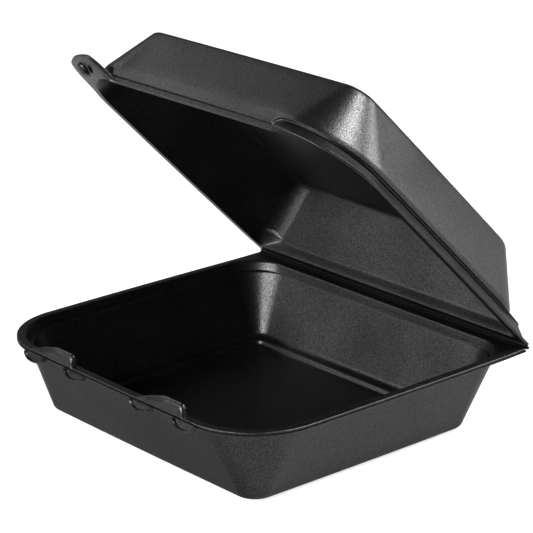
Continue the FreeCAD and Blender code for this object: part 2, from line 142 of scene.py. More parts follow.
# Longest step between two rings and largest share of a run that a rounding takes
LONGEST_STEP = 6.0
ROUNDING_SHARE = 0.49
# Where the ears at the ends of the hinge begin and are full, across and along, in mm
EAR_ACROSS = (104, 116)
EAR_ALONG = (84, 105)
# Sizes of the shrinking rings that close a skin's two ends
CAP_SHARES = (0.75, 0.5, 0.25)
# Points closer than this, in metres, are joined
JOIN_DISTANCE = 0.00001


def front_shares(cliffs):
    """Places of the columns along the front line, with a close pair at each abrupt end."""
    even = np.linspace(0, 1, FRONT_STEPS, endpoint=False)
    extra = [(place + shift + CORNER_RUN) / (2 * CORNER_RUN) for place in cliffs
             for shift in (0, CLIFF)]
    return np.unique(np.concatenate([even, extra]))


class Shell:
    """Skin of a formed half, drawn as rings of points that follow a profile of corner points."""

    def __init__(self, sizes, cliffs, *forms):
        self.bow = sizes.side_bow / MM
        self.ear_rise = sizes.ear_rise / MM
        self.columns = front_shares(cliffs)
        self.forms = forms
        self.corners = []

    def add(self, side, hinge, front_radius, hinge_radius, level, rounding=0.0, steps=4,
            first=(0, 0), second=(0, 0), third=(0, 0), tab=0.0, ear=0.0, push=0.0):
        """Add a corner of the profile in mm.

        The insets from the rim, the corner radii and the height come first. The front forms say
        how far the corner moves in and up where a form is full, tab and ear give its share of
        the finger tab's reach and of the ears' rise, and push is how much more the front is
        inset than the sides.
        """
        values = np.array([side, hinge, front_radius, hinge_radius, level, tab, ear, push,
                           *first, *second, *third], float)
        self.corners.append((values, rounding, steps))

    def profile(self):
        """Values of each ring, with the corners rounded and long runs divided."""
        found = [self.corners[0][0]]
        for number in range(1, len(self.corners) - 1):
            here, rounding, steps = self.corners[number]
            before = self.corners[number - 1][0]
            after = self.corners[number + 1][0]
            if rounding == 0:
                found.append(here)
                continue
            start = here + (before - here) * self.share(here, before, rounding)
            end = here + (after - here) * self.share(here, after, rounding)
            for step in range(steps + 1):
                t = step / steps
                found.append((1 - t) ** 2 * start + 2 * t * (1 - t) * here + t ** 2 * end)
        found.append(self.corners[-1][0])
        divided = [found[0]]
        for before, after in zip(found, found[1:]):
            run = np.linalg.norm((after - before)[SIDE_AND_LEVEL])
            pieces = max(1, math.ceil(run / LONGEST_STEP))
            for piece in range(1, pieces + 1):
                divided.append(before + (after - before) * piece / pieces)
        return divided

    @staticmethod
    def share(here, other, rounding):
        """Share of the run to the next corner that a rounding takes."""
        run = np.linalg.norm((other - here)[SIDE_AND_LEVEL])
        return min(rounding / max(run, 1e-6), ROUNDING_SHARE)

    def ring(self, values):
        """Points of one ring, anticlockwise from the end of the front left corner."""
        side, hinge, front_radius, hinge_radius, level = values[:5]
        half = HALF_WIDTH - side
        front = HALF_DEPTH - side - values[PUSH]
        back = HALF_DEPTH - hinge
        points = []

        def line(start, end, shares):
            for share in shares:
                points.append(start + (end - start) * share)

        def arc(centre, radius, begin, steps):
            for step in range(steps):
                angle = begin + math.pi / 2 * step / steps
                points.append(centre + radius * np.array([math.cos(angle), math.sin(angle)]))

        side_shares = np.linspace(0, 1, SIDE_STEPS, endpoint=False)
        hinge_shares = np.linspace(0, 1, HINGE_STEPS, endpoint=False)
        line(np.array([front_radius - half, -front]), np.array([half - front_radius, -front]),
             self.columns)
        arc(np.array([half - front_radius, front_radius - front]), front_radius, -math.pi / 2,
            FRONT_ARC_STEPS)
        line(np.array([half, front_radius - front]), np.array([half, back - hinge_radius]),
             side_shares)
        arc(np.array([half - hinge_radius, back - hinge_radius]), hinge_radius, 0,
            HINGE_ARC_STEPS)
        line(np.array([half - hinge_radius, back]), np.array([hinge_radius - half, back]),
             hinge_shares)
        arc(np.array([hinge_radius - half, back - hinge_radius]), hinge_radius, math.pi / 2,
            HINGE_ARC_STEPS)
        line(np.array([-half, back - hinge_radius]), np.array([-half, front_radius - front]),
             side_shares)
        arc(np.array([front_radius - half, front_radius - front]), front_radius, math.pi,
            FRONT_ARC_STEPS)
        found = np.column_stack([np.array(points), np.full(len(points), level)])
        self.bend(found)
        ahead = found[:, 1] < 0
        for number, form in enumerate(self.forms):
            share = np.where(ahead, form(found[:, 0]), 0)
            place = FORMS + 2 * number
            found[:, 1] += share * values[place]
            found[:, 2] += share * values[place + 1]
        rise = ease(np.abs(found[:, 0]), *EAR_ACROSS) * ease(found[:, 1], *EAR_ALONG)
        found[:, 2] += self.ear_rise * values[EAR] * rise
        return found

    def bend(self, found):
        """Bow the sides and the front a little, as the formed sheet does."""
        across = found[:, 0] / HALF_WIDTH
        along = found[:, 1] / HALF_DEPTH
        found[:, 0] += self.bow * across * (0.5 - along ** 2)
        ahead = np.clip(-along, 0, 1)
        found[:, 1] -= self.bow * ahead * (0.5 - across ** 2)

    def rings(self):
        return [self.ring(values) for values in self.profile()]


def shell_mesh(name, rings):
    """Closed skin through rings of points, with a flat cap of shrinking rings at both ends."""
    count = len(rings[0])
    skin = list(rings)
    for place, step in ((0, -1), (len(rings) - 1, 1)):
        edge = rings[place]
        middle = edge.mean(axis=0)
        middle[:2] = 0
        shrunk = [middle + (edge - middle) * share for share in CAP_SHARES]
        skin = skin + shrunk if step > 0 else shrunk[::-1] + skin
    vertices = [tuple(point * MM) for ring in skin for point in ring]
    faces = []
    for row in range(len(skin) - 1):
        for column in range(count):
            following = (column + 1) % count
            faces.append((row * count + column, (row + 1) * count + column,
                          (row + 1) * count + following, row * count + following))
    for ring_number, flip in ((0, False), (len(skin) - 1, True)):
        middle = skin[ring_number].mean(axis=0)
        middle[:2] = 0
        hub = len(vertices)
        vertices.append(tuple(middle * MM))
        base = ring_number * count
        for column in range(count):
            following = (column + 1) % count
            corner = (base + column, base + following, hub)
            faces.append(corner[::-1] if flip else corner)
    mesh = bpy.data.meshes.new(name)
    mesh.from_pydata(vertices, [], faces)
    settle(mesh)
    return mesh


def settle(mesh, crease=48):
    """Join doubled points, turn the faces outwards and smooth all but sharp edges."""
    work = bmesh.new()
    work.from_mesh(mesh)
    bmesh.ops.remove_doubles(work, verts=work.verts, dist=JOIN_DISTANCE)
    bmesh.ops.recalc_face_normals(work, faces=work.faces)
    work.to_mesh(mesh)
    work.free()
    mesh.shade_smooth()
    mesh.set_sharp_from_angle(angle=math.radians(crease))
    mesh.update()


def new_piece(mesh, body, *nodes):
    """Put a finished mesh in the scene, riding on a body and standing for CAD nodes."""
    piece = bpy.data.objects.new(mesh.name, mesh)
    bpy.context.collection.objects.link(piece)
    piece.data.materials.clear()
    piece.data.materials.append(foam())
    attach(piece, body)
    if nodes:
        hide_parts(*nodes)
    return piece


def turn_with_lid(mesh):
    """Turn a mesh drawn in the lid's own frame to the half open lid."""
    turn = Matrix.Rotation(OPEN_ANGLE, 4, Vector((-1, 0, 0)))
    mesh.transform(Matrix.Translation(HINGE) @ turn @ Matrix.Translation((0, -HINGE.y, 0)))
    mesh.update()


def grown_mesh(name, tree, source, values):
    """Plain mesh that a node tree makes from a source mesh and named input values."""
    holder = bpy.data.objects.new(name + "_source", source)
    bpy.context.collection.objects.link(holder)
    modifier = holder.modifiers.new(name, "NODES")
    modifier.node_group = tree
    for item in tree.interface.items_tree:
        if item.item_type == "SOCKET" and item.in_out == "INPUT" and item.name in values:
            modifier[item.identifier] = values[item.name]
    bpy.context.view_layer.update()
    shown = holder.evaluated_get(bpy.context.evaluated_depsgraph_get())
    mesh = bpy.data.meshes.new_from_object(shown)
    mesh.name = name
    holder.modifiers.clear()
    bpy.data.objects.remove(holder)
    if len(mesh.vertices) == 0:
        raise RuntimeError("the node tree made no mesh for " + name)
    return mesh


class Nodes:
    """Short way to write down a geometry node tree with named inputs."""

    def __init__(self, name, **inputs):
        self.tree = bpy.data.node_groups.new(name, "GeometryNodeTree")
        self.tree.interface.new_socket("Geometry", in_out="INPUT",
                                       socket_type="NodeSocketGeometry")
        for label, kind in inputs.items():
            self.tree.interface.new_socket(label.replace("_", " "), in_out="INPUT",
                                           socket_type="NodeSocket" + kind)
        self.tree.interface.new_socket("Geometry", in_out="OUTPUT",
                                       socket_type="NodeSocketGeometry")
        self.start = self.tree.nodes.new("NodeGroupInput")
        self.finish = self.tree.nodes.new("NodeGroupOutput")

    def given(self, name):
        return self.start.outputs[name]

    def node(self, kind, output=0, links=(), **settings):
        """Add a node, set its properties and link or set its inputs; gives one output."""
        made = self.tree.nodes.new(kind)
        for name, value in settings.items():
            setattr(made, name, value)
        for place, value in links:
            if isinstance(value, bpy.types.NodeSocket):
                self.tree.links.new(value, made.inputs[place])
            else:
                made.inputs[place].default_value = value
        return made.outputs[output]

    def math(self, operation, first, second=0.0):
        return self.node("ShaderNodeMath", 0, ((0, first), (1, second)), operation=operation)

    def close(self, geometry):
        """End the tree with real instances and the foam material."""
        real = self.node("GeometryNodeRealizeInstances", 0, (("Geometry", geometry),))
        skin = self.node("GeometryNodeSetMaterial", 0, (("Geometry", real),
                                                        ("Material", self.given("Foam"))))
        self.tree.links.new(skin, self.finish.inputs[0])
        return self.tree


def foam_material():
    """Black foam skin: fine cells that sparkle a little, with a soft satin reflection."""
    looks = bpy.context.scene.clamshell_looks
    material = bpy.data.materials.new("black_foam")
    material.use_nodes = True
    tree = material.node_tree
    shader = tree.nodes["Principled BSDF"]
    place = tree.nodes.new("ShaderNodeTexCoord")

    cells = tree.nodes.new("ShaderNodeTexVoronoi")
    cells.feature = "SMOOTH_F1"
    cells.inputs["Scale"].default_value = 1 / looks.grain_size
    cells.inputs["Smoothness"].default_value = 0.6
    tree.links.new(place.outputs["Object"], cells.inputs["Vector"])

    grain = tree.nodes.new("ShaderNodeTexNoise")
    grain.inputs["Scale"].default_value = 0.8 / looks.grain_size
    grain.inputs["Detail"].default_value = 3
    grain.inputs["Roughness"].default_value = 0.7
    tree.links.new(place.outputs["Object"], grain.inputs["Vector"])

    drift = tree.nodes.new("ShaderNodeTexNoise")
    drift.inputs["Scale"].default_value = 28
    drift.inputs["Detail"].default_value = 2
    tree.links.new(place.outputs["Object"], drift.inputs["Vector"])

    tone = tree.nodes.new("ShaderNodeMixRGB")
    tone.inputs["Color1"].default_value = (*[0.7 * part for part in looks.foam_colour], 1)
    tone.inputs["Color2"].default_value = (*[1.4 * part for part in looks.foam_colour], 1)
    tree.links.new(grain.outputs["Fac"], tone.inputs["Fac"])
    tree.links.new(tone.outputs["Color"], shader.inputs["Base Color"])

    rough = tree.nodes.new("ShaderNodeMapRange")
    rough.inputs["From Min"].default_value = 0.3
    rough.inputs["From Max"].default_value = 0.7
    rough.inputs["To Min"].default_value = looks.foam_roughness - 0.05
    rough.inputs["To Max"].default_value = looks.foam_roughness + 0.05
    tree.links.new(drift.outputs["Fac"], rough.inputs["Value"])
    tree.links.new(rough.outputs["Result"], shader.inputs["Roughness"])

    sparkle = tree.nodes.new("ShaderNodeTexNoise")
    sparkle.inputs["Scale"].default_value = 1.0 / looks.grain_size
    sparkle.inputs["Detail"].default_value = 2
    sparkle.inputs["Roughness"].default_value = 0.8
    tree.links.new(place.outputs["Object"], sparkle.inputs["Vector"])
    shine = tree.nodes.new("ShaderNodeMapRange")
    shine.inputs["From Min"].default_value = 0.36
    shine.inputs["From Max"].default_value = 0.64
    shine.inputs["To Min"].default_value = 0.22
    shine.inputs["To Max"].default_value = 0.95
    tree.links.new(sparkle.outputs["Fac"], shine.inputs["Value"])
    tree.links.new(shine.outputs["Result"], shader.inputs["Specular IOR Level"])

    height = tree.nodes.new("ShaderNodeMath")
    height.operation = "ADD"
    tree.links.new(cells.outputs["Distance"], height.inputs[0])
    tree.links.new(grain.outputs["Fac"], height.inputs[1])
    bump = tree.nodes.new("ShaderNodeBump")
    bump.inputs["Strength"].default_value = 0.28
    bump.inputs["Distance"].default_value = 0.0002
    tree.links.new(height.outputs[0], bump.inputs["Height"])
    tree.links.new(bump.outputs["Normal"], shader.inputs["Normal"])
    return material


def foam():
    """The foam material, made the first time that a piece asks for it."""
    return bpy.data.materials.get("black_foam") or foam_material()


class CLAMSHELL_OT_tray(bpy.types.Operator):
    """Tray: slotted lip with two raised tongues, seat, shelf, drafted walls and centre panel"""
    bl_idname = "clamshell.tray"
    bl_label = "Tray"

    def execute(self, context):
        sizes = context.scene.clamshell_sizes
        rim = sizes.tray_height / MM
        foam_wall = sizes.foam / MM
        under = rim - sizes.rim_thick / MM
        top = rim - MATING
        front = sizes.rim_front_radius / MM
        hinge = sizes.rim_hinge_radius / MM
        slot = sizes.slot_depth / MM
        tall = sizes.tongue_height / MM
        starts = [(sizes.first_tongue + shift) / MM for shift in (0, sizes.latch_spacing)]
        run = sizes.tongue_length / MM
        ends = [start + run for start in starts]
        seat_radius = 21.5
        lip_width = 5.5
        flange = 8.5
        foot_rise = 1.4
        floor = 3 + foam_wall
        seat = rim - 6
        slot_start = (starts[0] - 6, starts[0] - 1)
        slot_end = (ends[1] + 8, ends[1] + 13)
        # A tongue climbs over this share of its length, and its blunt end is rounded over this one
        climb = 0.62
        climb_power = 1.35
        rounded = 0.07
        blunt = 0.5

        def slotted(x):
            """Share of the front slot, which runs past both latches."""
            return ease(x, *slot_start) * (1 - ease(x, *slot_end))

        def tongues(x):
            """Height share of the tongues: a long climb, a flat stretch and a rounded end."""
            share = np.zeros(len(x))
            for start in starts:
                way = (x - start) / run
                hump = 1 - np.clip(1 - way / climb, 0, 1) ** climb_power
                past = np.clip((way - 1 + rounded) / rounded, 0, 1)
                hump *= blunt + (1 - blunt) * np.sqrt(1 - past ** 2)
                share = np.where((way >= 0) & (way <= 1), hump, share)
            return share

        shell = Shell(sizes, ends, slotted, tongues)
        # Underside of the floor panel, foot and outer wall
        shell.add(36, 34, 6, 6, 0)
        shell.add(33.2, 31.2, 7.8, 7.8, 0, 0.8, 3)
        shell.add(32, 30, 9, 9, foot_rise, 0.8, 3)
        shell.add(23.5, 24, 11, 11, foot_rise, 3.0, 8, push=1.5)
        shell.add(6, 6, 38, 24, under, 1.2, 3)

        def lip(inset, level, **more):
            """Corner on the lip, which is wider at the hinge than at the other sides."""
            share = inset / lip_width
            shell.add(inset, MATING + (flange - MATING) * share, front - inset,
                      hinge + (seat_radius - hinge) * share, level, **more)

        # Edge of the lip with its slot
        lip(0.2, under, rounding=0.5, ear=1)
        lip(0, rim - 2.1, rounding=0.15, steps=2, ear=1, first=(0, 0.55))
        lip(0.9, rim - 1.9, ear=1, first=(slot - 0.9, 0.45))
        lip(0.9, rim - 0.9, ear=1, first=(slot - 0.9, 0.1))
        lip(0, rim - 0.75, rounding=0.15, steps=2, ear=1, second=(0, 0.1))
        # Top of the lip, which swells up to the tongues
        lip(0.15, rim - 0.38, second=(-0.1, 0.6), ear=1)
        lip(0.6, top, second=(-0.45, 0.28 * tall), ear=1)
        lip(1.0, top, second=(-0.7, 0.5 * tall), ear=1)
        lip(1.5, top, second=(-0.8, 0.7 * tall), ear=0.95)
        lip(1.9, top, second=(-0.5, 0.86 * tall), ear=0.9)
        lip(2.3, top, second=(0.0, 0.96 * tall), ear=0.85)
        lip(2.6, top, second=(0.45, tall), ear=0.8)
        lip(2.9, top, second=(0.6, 0.96 * tall), ear=0.75)
        lip(3.2, top, second=(0.4, 0.84 * tall), ear=0.7)
        lip(3.6, top, second=(0.0, 0.35), ear=0.6)
        # Seat, shelf, inner wall, floor ring and centre panel
        shell.add(lip_width, flange, front - lip_width, seat_radius, top, 1.2, 4)
        shell.add(8.1, 9.6, front - 8.1, seat_radius, seat, 0.8, 3)
        shell.add(10.1, 10.1, front - 10.1, seat_radius, seat, 1.0, 4)
        shell.add(24.5, 23, 10.5, 7.5, floor, 3.0, 8)
        shell.add(30.5, 29, 6.5, 4.5, floor, 1.2, 4)
        shell.add(31.7, 30.2, 5.3, 3.5, foam_wall, 1.2, 4)
        shell.add(34.5, 33, 3.5, 2.5, foam_wall)
        new_piece(shell_mesh("tray_shell", shell.rings()), "base", "base_tray")
        return {"FINISHED"}


class CLAMSHELL_OT_lobes(bpy.types.Operator):
    """Lobes: four rimmed half-round dishes under the tray's lip that guide the lid's edge in"""
    bl_idname = "clamshell.lobes"
    bl_label = "Latch lobes"

    def execute(self, context):
        sizes = context.scene.clamshell_sizes
        # The lobes sit to the right of their tongue's middle, below the rim and in front of it
        offset = 4 * MM
        below = 1.5 * MM
        proud = 1.0 * MM
        middles = []
        for shift in (0, sizes.latch_spacing):
            middle = sizes.first_tongue + sizes.tongue_length / 2 + shift + offset
            middles += [middle - sizes.lobe_spacing / 2, middle + sizes.lobe_spacing / 2]
        level = sizes.tray_height - below
        ahead = -HALF_DEPTH * MM - proud
        spots = bpy.data.meshes.new("lobe_spots")
        spots.from_pydata([(x, ahead, level) for x in middles], [], [])
        mesh = grown_mesh("latch_lobes", self.lobe_tree(), spots, {
            "Width": sizes.lobe_width, "Drop": sizes.lobe_drop, "Ridge": sizes.lobe_ridge,
            "Thickness": sizes.lobe_thick, "Flare": sizes.lobe_flare, "Foam": foam()})
        settle(mesh, crease=40)
        new_piece(mesh, "base")
        return {"FINISHED"}

    @staticmethod
    def lobe_tree():
        """Node tree: a grid is wrapped to a half disc, dished, thickened and set at each point."""
        nodes = Nodes("latch_lobes", Width="Float", Drop="Float", Ridge="Float",
                      Thickness="Float", Flare="Float", Foam="Material")
        grid = nodes.node("GeometryNodeMeshGrid", 0, (("Size X", 1.0), ("Size Y", 1.0),
                                                      ("Vertices X", 45), ("Vertices Y", 17)))
        position = nodes.node("GeometryNodeInputPosition")
        place = nodes.tree.nodes.new("ShaderNodeSeparateXYZ")
        nodes.tree.links.new(position, place.inputs[0])
        angle = nodes.math("MULTIPLY", nodes.math("ADD", place.outputs["X"], 0.5), math.pi)
        reach = nodes.math("ADD", place.outputs["Y"], 0.5)
        wide = nodes.math("MULTIPLY", nodes.math("MULTIPLY", nodes.math("COSINE", angle), reach),
                          nodes.math("MULTIPLY", nodes.given("Width"), -0.5))
        deep = nodes.math("MULTIPLY", nodes.math("MULTIPLY", nodes.math("SINE", angle), reach),
                          nodes.math("MULTIPLY", nodes.given("Drop"), -1.0))
        rise = nodes.node("ShaderNodeMapRange", 0, (("Value", reach), ("From Min", 0.74),
                                                    ("From Max", 0.88), ("To Min", 1.0),
                                                    ("To Max", -1.0)),
                          interpolation_type="SMOOTHSTEP")
        fall = nodes.node("ShaderNodeMapRange", 0, (("Value", reach), ("From Min", 0.93),
                                                    ("From Max", 1.0), ("To Min", 0.0),
                                                    ("To Max", 1.3)),
                          interpolation_type="SMOOTHSTEP")
        dish = nodes.math("MULTIPLY", nodes.math("ADD", rise, fall), nodes.given("Ridge"))
        spot = nodes.node("ShaderNodeCombineXYZ", 0, ((0, wide), (1, dish), (2, deep)))
        face = nodes.node("GeometryNodeSetPosition", 0, (("Geometry", grid), ("Position", spot)))
        back = nodes.node("ShaderNodeCombineXYZ", 0, ((1, nodes.given("Thickness")),))
        solid = nodes.node("GeometryNodeExtrudeMesh", 0, (("Mesh", face), ("Offset", back),
                                                          ("Individual", False)))
        front = nodes.node("GeometryNodeFlipFaces", 0, (("Mesh", face),))
        join = nodes.tree.nodes.new("GeometryNodeJoinGeometry")
        nodes.tree.links.new(solid, join.inputs[0])
        nodes.tree.links.new(front, join.inputs[0])
        closed = nodes.node("GeometryNodeMergeByDistance", 0, (("Geometry", join.outputs[0]),
                                                               ("Distance", 0.00002)))
        lean = nodes.node("ShaderNodeCombineXYZ", 0, ((0, nodes.math("MULTIPLY",
                                                                     nodes.given("Flare"), -1)),))
        spots = nodes.node("GeometryNodeMeshToPoints", 0, (("Mesh", nodes.given("Geometry")),))
        placed = nodes.node("GeometryNodeInstanceOnPoints", 0, (("Points", spots),
                                                                ("Instance", closed),
                                                                ("Rotation", lean)))
        return nodes.close(placed)


class CLAMSHELL_OT_lid(bpy.types.Operator):
    """Lid: lip, sloped band, groove, drafted walls, crown, tucked front and finger tab"""
    bl_idname = "clamshell.lid"
    bl_label = "Lid"

    def execute(self, context):
        sizes = context.scene.clamshell_sizes
        foam_wall = sizes.foam / MM
        front = sizes.rim_front_radius / MM
        hinge = sizes.rim_hinge_radius / MM
        crown = sizes.lid_height / MM
        thick = sizes.lid_lip_thick / MM
        tuck_start = (-81, -77)
        tuck_end = (65, 69)
        straight_start = (-86, -66)
        straight_end = (30, 74)
        arch_end = 62.3
        arch_run = 6.5
        band_top = 7.4
        groove_top = 8.4

        def tucked(x):
            """Share of the front stretch that goes in behind the tongues."""
            return ease(x, *tuck_start) * (1 - ease(x, *tuck_end))

        def straight(x):
            """Share by which the front wall is straightened above the tucked stretch."""
            return ease(x, *straight_start) * (1 - ease(x, *straight_end))

        def arched(x):
            """Share of the groove's roof, which comes down in an arch at its right end."""
            way = np.clip((x - arch_end) / arch_run, 0, 1)
            return ease(x, *tuck_start) * (1 - np.sqrt(1 - (1 - way) ** 2))

        shell = Shell(sizes, [], tucked, straight, arched)
        # Ceiling and inner wall
        shell.add(33, 31.5, 8.5, 6, crown - foam_wall, push=-4)
        shell.add(28, 26.5, 11.5, 9, crown - foam_wall, 3.0, 8, push=-7)
        shell.add(8.5, 8.3, front - 8.5, 13, 7.15, 1.0, 3, first=(0.4, 0))

        def lip(inset, far, level, rounding=0.0, steps=4, **more):
            """Corner on the lip, given by its insets from the sides and from the hinge."""
            shell.add(inset, far, front - inset, hinge, level, rounding, steps, **more)

        # Underside of the lip with a fine groove
        lip(4.8, 8.3, MATING, 0.5, 3, first=(2.6, 0), ear=0.6)
        lip(3.9, 6.8, MATING, first=(2.4, 0), tab=0.15, ear=0.8)
        lip(3.7, 6.4, MATING, first=(2.4, 0.8), tab=0.2, ear=0.8)
        lip(3.1, 5.3, MATING, first=(2.3, 0.8), tab=0.33, ear=0.9)
        lip(2.9, 5.0, MATING, first=(2.3, 0), tab=0.37, ear=0.9)
        lip(2.2, 3.8, MATING, first=(2.6, 0), tab=0.5, ear=1)
        lip(1.5, 2.6, MATING, first=(2.9, 0), tab=0.66, ear=1)
        lip(0.8, 1.4, MATING, first=(3.5, 0), tab=0.84, ear=1)
        lip(0, MATING, MATING, 0.5, 4, first=(4.2, 0), tab=1, ear=1)
        # Top of the lip
        lip(0, MATING, thick, 0.5, 4, first=(4.2, 0.3), tab=1, ear=1)
        lip(0.3, 2.0, thick, first=(4.1, 0.35), tab=0.7, ear=1)
        lip(0.6, 4.0, thick, first=(4.2, 0.4), tab=0.35, ear=0.9)
        lip(0.9, 5.8, thick, 0.3, 3, first=(4.5, 0.5), ear=0.8)
        # Sloped band, groove over it, outer wall and crown
        shell.add(6, 5.8, front - 6, hinge + 6, band_top, 0.3, 3, first=(-0.5, -4.1))
        shell.add(6, 5.8, front - 6, hinge + 6, groove_top, 0.2, 2, third=(-1.3, -4.8))
        shell.add(4, 5.8, 40, 30, groove_top, 0.4, 3, third=(0.4, -4.4))
        shell.add(4.6, 6.4, 39.4, 30, 11.4, 0.4, 2, second=(1.6, 0))
        shell.add(25.5, 24, 13, 18, crown, 3.6, 10, push=-7)
        shell.add(32, 31, 7, 12, crown, push=-3)
        rings = []
        for values in shell.profile():
            ring = shell.ring(values)
            self.pull_tab(ring, values, sizes)
            rings.append(ring)
        mesh = shell_mesh("lid_shell", rings)
        turn_with_lid(mesh)
        new_piece(mesh, "lid", "lid")
        return {"FINISHED"}

    @staticmethod
    def pull_tab(ring, values, sizes):
        """Pull the lip out at the front left corner to a lifted tab with rounded corners.

        The tab's width rises and falls between bearings in degrees round the corner's middle.
        """
        side, front_radius, share = values[0], values[2], values[TAB]
        if share == 0:
            return
        rising = (18, 46)
        falling = (81, 90)
        past_corner = 12
        middle = np.array([front_radius - HALF_WIDTH + side, front_radius - HALF_DEPTH + side])
        way = ring[:, :2] - middle
        bearing = np.degrees(np.arctan2(-way[:, 1], -way[:, 0]))
        near = (way[:, 0] < past_corner) & (way[:, 1] < past_corner)
        start = ease(bearing, *rising)
        stop = 1 - ease(bearing, *falling)
        width = np.where(near, start * stop, 0)
        outward = way / np.linalg.norm(way, axis=1)[:, None]
        ring[:, :2] += outward * (width * share * sizes.tab_reach / MM)[:, None]
        ring[:, 2] += width * share ** 1.5 * sizes.tab_lift / MM


class CLAMSHELL_OT_tab_marks(bpy.types.Operator):
    """Tab marks: the raised boss and the small crescent ridge under the finger tab"""
    bl_idname = "clamshell.tab_marks"
    bl_label = "Tab boss and crescent"

    def execute(self, context):
        boss = ((-100.9, -103.4, 0.9), (4.6, 8.0, 2.9), 38)
        crescent = ((-90.6, -107.4, 0.8), (0.9, 4.4, 1.2), 20)
        work = bmesh.new()
        for place, size, bearing in (boss, crescent):
            spot = (Matrix.Translation(Vector(place) * MM)
                    @ Matrix.Rotation(math.radians(bearing), 4, "Z")
                    @ Matrix.Diagonal((*[part * MM for part in size], 1)))
            bmesh.ops.create_uvsphere(work, u_segments=40, v_segments=20, radius=1, matrix=spot)
        mesh = bpy.data.meshes.new("tab_marks")
        work.to_mesh(mesh)
        work.free()
        settle(mesh)
        turn_with_lid(mesh)
        new_piece(mesh, "lid")
        return {"FINISHED"}


class CLAMSHELL_OT_hinge_web(bpy.types.Operator):
    """Hinge web: the pressed crease of thin foam that joins the two halves and bends"""
    bl_idname = "clamshell.hinge_web"
    bl_label = "Hinge web"

    def execute(self, context):
        sizes = context.scene.clamshell_sizes
        reach = 1.6 * MM
        end_gap = 0.4 * MM
        inner_share = 0.6
        fold_steps = 8
        half = sizes.web_thick / 2
        lid_way = Vector((0, -math.cos(OPEN_ANGLE), math.sin(OPEN_ANGLE)))
        lid_out = Vector((0, math.sin(OPEN_ANGLE), math.cos(OPEN_ANGLE)))
        tray_way = Vector((0, -1, 0))
        tray_out = Vector((0, 0, -1))
        section = [tray_way * reach + tray_out * half]
        turn = math.pi - OPEN_ANGLE
        for step in range(fold_steps + 1):
            angle = -math.pi / 2 + turn * step / fold_steps
            section.append(Vector((0, math.cos(angle), math.sin(angle))) * half)
        section.append(lid_way * reach + lid_out * half)
        section.append(lid_way * reach)
        section.append((lid_way + tray_way).normalized() * half * inner_share)
        section.append(tray_way * reach)
        count = len(section)
        outline = bpy.data.meshes.new("hinge_web_section")
        outline.from_pydata([(-point.y, -point.z, 0) for point in section],
                            [(number, (number + 1) % count) for number in range(count)], [])
        mesh = grown_mesh("hinge_web", self.web_tree(), outline, {
            "Length": 2 * HALF_WIDTH * MM - end_gap, "Hinge": tuple(HINGE),
            "Foam": foam()})
        settle(mesh)
        piece = bpy.data.objects.new("hinge_web", mesh)
        context.collection.objects.link(piece)
        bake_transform(piece)
        return {"FINISHED"}

    @staticmethod
    def web_tree():
        """Node tree that sweeps the crease's cross-section along the hinge line."""
        nodes = Nodes("hinge_web", Length="Float", Hinge="Vector", Foam="Material")
        section = nodes.node("GeometryNodeMeshToCurve", 0, (("Mesh", nodes.given("Geometry")),))
        left = nodes.node("ShaderNodeCombineXYZ", 0,
                          ((0, nodes.math("MULTIPLY", nodes.given("Length"), -0.5)),))
        right = nodes.node("ShaderNodeCombineXYZ", 0,
                           ((0, nodes.math("MULTIPLY", nodes.given("Length"), 0.5)),))
        line = nodes.node("GeometryNodeCurvePrimitiveLine", 0, (("Start", left), ("End", right)))
        path = nodes.node("GeometryNodeResampleCurve", 0, (("Curve", line), ("Count", 61)))
        sweep = nodes.node("GeometryNodeCurveToMesh", 0, (("Curve", path),
                                                          ("Profile Curve", section),
                                                          ("Fill Caps", True)))
        placed = nodes.node("GeometryNodeTransform", 0, (("Geometry", sweep),
                                                         ("Translation", nodes.given("Hinge"))))
        return nodes.close(placed)


# Soft boxes: name, bearing and height in degrees, distance, width and height in metres, watts
LIGHTS = (
    ("corner_light", 127, 55, 2.6, 0.7, 0.9, 84),
    ("rear_light", 148, 19, 2.4, 1.3, 0.9, 40),
    ("front_light", 0, 22, 2.6, 2.5, 1.0, 116),
    ("left_light", -45, 30, 2.6, 1.4, 1.0, 7),
    ("side_light", -90, 37, 2.6, 1.1, 1.0, 6),
)
LIGHT_TARGET = Vector((0, 0, 0.08))
# Brightness of the studio's walls near the horizon and above, by the height of the direction
HORIZON = (0.1, 0.12)
ZENITH = (0.7, 0.06)
# Glow of the floor that only the camera sees
FLOOR_GLOW = 0.75
FLOOR_SIZE = 12
CAMERA_AZIMUTH = math.radians(49.213)
CAMERA_ELEVATION = math.radians(19.044)
CAMERA_ROLL = math.radians(-0.413)
CAMERA_DISTANCE = 1.4
CAMERA_TARGET = Vector((0.001559, 0.008589, 0.092579))
SENSOR_WIDTH = 36
# Focal length in pixels of a frame 533 pixels wide
FOCAL_PIXELS = 2424.58
FRAME_PIXELS = 533


def direction(azimuth, elevation):
    """Unit vector to a bearing from the front, turning to the right, and a height in radians."""
    return Vector((math.sin(azimuth) * math.cos(elevation),
                   -math.cos(azimuth) * math.cos(elevation), math.sin(elevation)))


